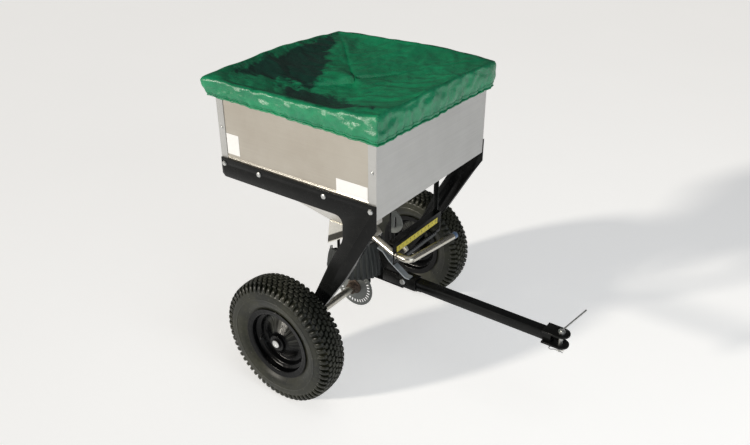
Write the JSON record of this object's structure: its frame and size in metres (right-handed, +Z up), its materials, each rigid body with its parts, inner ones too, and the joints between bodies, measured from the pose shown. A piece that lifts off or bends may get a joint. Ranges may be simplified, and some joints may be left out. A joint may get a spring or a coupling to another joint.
{
  "type": "tow-behind fertilizer spreader",
  "caption": "Towed ground-drive fertilizer spreader: square steel hopper with a cloth cover, slotted-gear spinner, rate lever, pneumatic wheels and a drawbar hitch",
  "frame": {"origin": "on the ground, at the centre of the object's footprint", "axes": "+X forward to the hitch, +Y to the left across the axle, +Z up"},
  "size_m": [1.0496, 0.828, 0.956],
  "materials": {
    "frame_black": "gloss black powder coat",
    "stainless": "brushed stainless sheet and tube",
    "zinc": "zinc plated steel",
    "rusty_iron": "bare iron with light rust",
    "tyre": "matt black rubber with a block tread",
    "rim_black": "gloss black paint",
    "nylon": "off-white bearing nylon",
    "brass": "sintered bronze",
    "plug": "grey-blue plastic",
    "scale": "yellow label with black marks",
    "curtain": "dark grey rubberised cloth",
    "cover": "glossy green coated cloth"
  },
  "bodies": {
    "chassis": {"side_frame_right": "frame_black", "side_frame_left": "frame_black", "lever_pivot_support": "frame_black", "scale_bracket": "frame_black", "scale_upright_right": "frame_black", "scale_upright_left": "frame_black", "gear_bracket": "frame_black", "hanger_post_front": "frame_black", "hanger_post_rear": "frame_black", "curtain_ring": "frame_black", "drawbar_tube": "frame_black", "drawbar_sleeve": "frame_black", "drawbar_gusset": "frame_black", "clevis_plate_upper": "frame_black", "clevis_plate_lower": "frame_black", "hopper_front_panel": "stainless", "hopper_rear_panel": "stainless", "hopper_right_panel": "stainless", "hopper_left_panel": "stainless", "hopper_funnel": "stainless", "spreader_hood": "stainless", "metering_plate": "stainless", "frame_bolt_right_1": "zinc", "frame_bolt_right_2": "zinc", "frame_bolt_left_1": "zinc", "frame_bolt_left_2": "zinc", "lever_pivot_bolt": "zinc", "notched_rail": "zinc", "scale_hanger_plate": "zinc", "drawbar_bolt": "zinc", "drawbar_brace": "zinc", "axle_bush_right": "nylon", "axle_bush_left": "nylon", "axle_bush_centre": "nylon", "spinner_shaft_bush": "brass", "scale_strip": "scale", "spinner_curtain": "curtain"},
    "drive_wheel": {"axle": "zinc", "slotted_gear": "zinc", "gear_collar": "rusty_iron", "tyre_right": "tyre", "wheel_rim_right": "rim_black", "wheel_bush_right": "nylon", "axle_cap_right": "zinc", "axle_cap_left": "zinc"},
    "free_wheel": {"tyre_left": "tyre", "wheel_rim_left": "rim_black", "wheel_bush_left": "nylon"},
    "spinner": {"spinner_shaft": "zinc", "pinion": "zinc", "impeller": "stainless", "agitator": "stainless"},
    "shutter_lever": {"shutter_blade": "stainless", "rate_lever": "stainless", "lever_end_plug": "plug", "lever_lock_screw": "zinc"},
    "cover": {"hopper_cover": "cover"},
    "hitch_pin": {"hitch_pin": "zinc"},
    "r_clip": {"hitch_r_clip": "zinc"}
  },
  "joints": [
    {"name": "axle_turn", "type": "hinge", "parent": "chassis", "child": "drive_wheel", "pos_m": [-0.22546, 0, 0.205], "axis": [0, 1, 0], "continuous": true},
    {"name": "free_wheel_turn", "type": "hinge", "parent": "chassis", "child": "free_wheel", "pos_m": [-0.22546, 0.365, 0.205], "axis": [0, 1, 0], "continuous": true},
    {"name": "spinner_turn", "type": "hinge", "parent": "chassis", "child": "spinner", "pos_m": [-0.22546, 0, 0.298], "axis": [0, 0, 1], "continuous": true},
    {"name": "rate_lever_swing", "type": "hinge", "parent": "chassis", "child": "shutter_lever", "pos_m": [-0.44546, 0.031, 0.435], "axis": [0, 0, 1], "range_deg": [0, 24]},
    {"name": "cover_lift", "type": "slide", "parent": "chassis", "child": "cover", "axis": [0, 0, 1], "range_m": [0, 0.35]},
    {"name": "hitch_pin_turn", "type": "hinge", "parent": "chassis", "child": "hitch_pin", "pos_m": [0.49984, 0, 0.298], "axis": [0, 0, 1], "continuous": true},
    {"name": "r_clip_pull", "type": "slide", "parent": "hitch_pin", "child": "r_clip", "axis": [-1, 0, 0], "range_m": [0, 0.03]}
  ],
  "couplings": [
    {"joint": "spinner_turn", "follows": "axle_turn", "ratio": 4}
  ]
}
